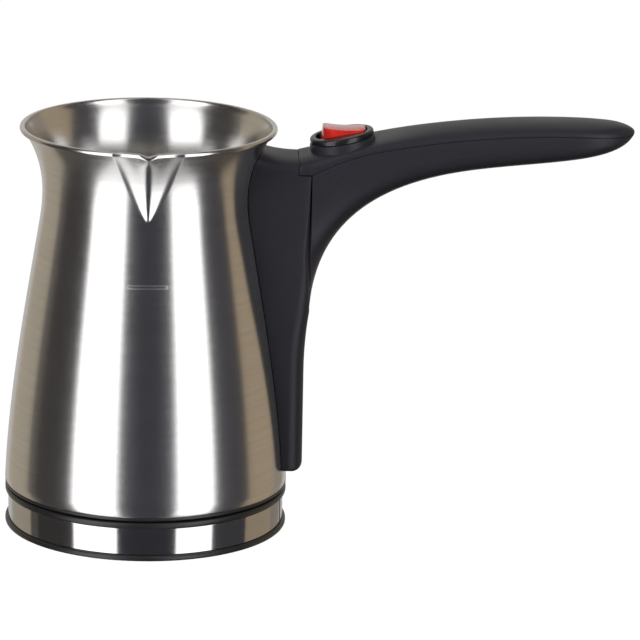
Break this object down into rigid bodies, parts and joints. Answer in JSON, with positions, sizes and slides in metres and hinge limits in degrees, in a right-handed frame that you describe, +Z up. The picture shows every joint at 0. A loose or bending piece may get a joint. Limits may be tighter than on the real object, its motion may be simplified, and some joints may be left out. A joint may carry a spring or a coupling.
{
  "type": "electric turkish coffee maker",
  "caption": "Waisted steel coffee pot with a pouring lip, long black handle and red rocker switch, lifting off a round cordless power base.",
  "frame": {"origin": "on the pot's axis, at the table, in the plane of the rubber ring's underside", "axes": "+Z up along the pot's axis, +X out along the handle, -Y towards the pouring lip, +Y towards the cord inlet"},
  "size_m": [0.2246, 0.1035, 0.1513],
  "materials": {
    "rubber_ring": "matt",
    "black_plastic": "satin",
    "polished_band": "polished",
    "dark_plastic": "matt",
    "brass": "bare",
    "screw_steel": "zinc plated",
    "brushed_steel": "brushed round the pot",
    "bracket_steel": "plain",
    "heat_plate": "plain",
    "element_sheath": "matt",
    "seal_white": "matt",
    "thermostat_case": "matt",
    "handle_black": "satin",
    "lead_red": "matt",
    "lead_blue": "matt",
    "switch_black": "gloss",
    "lamp_glass": "clear",
    "rocker_red": "translucent gloss",
    "plunger_white": "matt"
  },
  "bodies": {
    "base": {"anti_slip_ring": "rubber_ring", "base_pan": "black_plastic", "base_band": "polished_band", "base_deck": "black_plastic", "base_socket": "dark_plastic", "socket_contacts": "brass", "base_screws": "screw_steel", "cord_gland": "rubber_ring"},
    "pot": {"vessel": "brushed_steel", "vessel_floor": "brushed_steel", "floor_studs": "bracket_steel", "heat_plate": "heat_plate", "heating_element": "element_sheath", "element_seals": "seal_white", "thermostat": "thermostat_case", "thermal_fuse": "screw_steel", "bottom_cover": "black_plastic", "cover_seal": "seal_white", "cover_screws": "screw_steel", "coupler_body": "dark_plastic", "coupler_pin": "brass", "coupler_inner_ring": "brass", "coupler_outer_ring": "brass", "upper_bracket": "bracket_steel", "lower_bracket": "bracket_steel", "handle_post": "handle_black", "handle_grip": "handle_black", "handle_top_cover": "handle_black", "post_screws": "screw_steel", "grip_screws": "screw_steel", "lead_grommet": "rubber_ring", "live_lead": "lead_red", "switched_lead": "lead_blue", "switch_housing": "switch_black", "switch_terminals": "brass", "indicator_lamp": "lamp_glass"},
    "rocker": {"rocker": "rocker_red", "rocker_plunger": "plunger_white"},
    "seesaw": {"switch_seesaw": "brass"}
  },
  "joints": [
    {"name": "pot_lift", "type": "slide", "parent": "base", "child": "pot", "axis": [0, 0, 1], "range_m": [0, 0.06]},
    {"name": "rocker_tilt", "type": "hinge", "parent": "pot", "child": "rocker", "pos_m": [0.06945, 0, 0.14176], "axis": [0, -1, 0], "range_deg": [0, 24]},
    {"name": "seesaw_tilt", "type": "hinge", "parent": "pot", "child": "seesaw", "pos_m": [0.07102, 0, 0.13504], "axis": [0, 1, 0], "range_deg": [0, 16]}
  ],
  "couplings": [
    {"joint": "seesaw_tilt", "follows": "rocker_tilt", "ratio": 0.66667}
  ]
}
